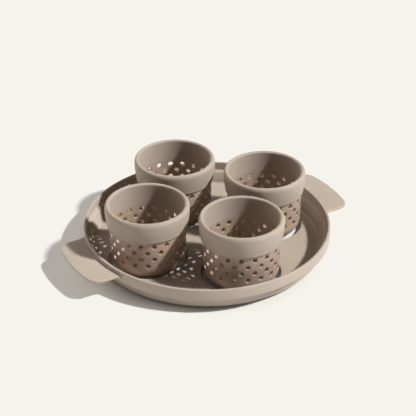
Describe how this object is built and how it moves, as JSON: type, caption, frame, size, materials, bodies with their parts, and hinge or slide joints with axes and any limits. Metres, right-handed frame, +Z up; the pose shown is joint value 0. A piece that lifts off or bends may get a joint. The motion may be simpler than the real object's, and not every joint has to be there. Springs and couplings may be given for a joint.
{
  "type": "egg poacher",
  "caption": "Round poaching tray with ear handles and loose perforated cups, each a hard basket with a soft silicone collar, that stand or hang in holes in its floor.",
  "frame": {"origin": "on the table, under the centre of the tray", "axes": "+X through the ears, +Z up along the tray's axis, +Y at right angles to the ears"},
  "size_m": [0.3238, 0.2666, 0.0734],
  "materials": {
    "tray_plastic": "satin warm beige, smooth",
    "basket_plastic": "matte warm beige, fine grain",
    "silicone": "soft matte greyish beige"
  },
  "bodies": {
    "tray": {"tray": "tray_plastic"},
    "cup_right": {"basket_right": "basket_plastic", "collar_right": "silicone"},
    "cup_back": {"basket_back": "basket_plastic", "collar_back": "silicone"},
    "cup_left": {"basket_left": "basket_plastic", "collar_left": "silicone"},
    "cup_front": {"basket_front": "basket_plastic", "collar_front": "silicone"}
  },
  "joints": [
    {"name": "cup_right_lift", "type": "slide", "parent": "tray", "child": "cup_right", "axis": [0, 0, 1], "range_m": [-0.0428, 0.076]},
    {"name": "cup_back_lift", "type": "slide", "parent": "tray", "child": "cup_back", "axis": [0, 0, 1], "range_m": [-0.0428, 0.076]},
    {"name": "cup_left_lift", "type": "slide", "parent": "tray", "child": "cup_left", "axis": [0, 0, 1], "range_m": [-0.0428, 0.076]},
    {"name": "cup_front_lift", "type": "slide", "parent": "tray", "child": "cup_front", "axis": [0, 0, 1], "range_m": [-0.0428, 0.076]}
  ]
}
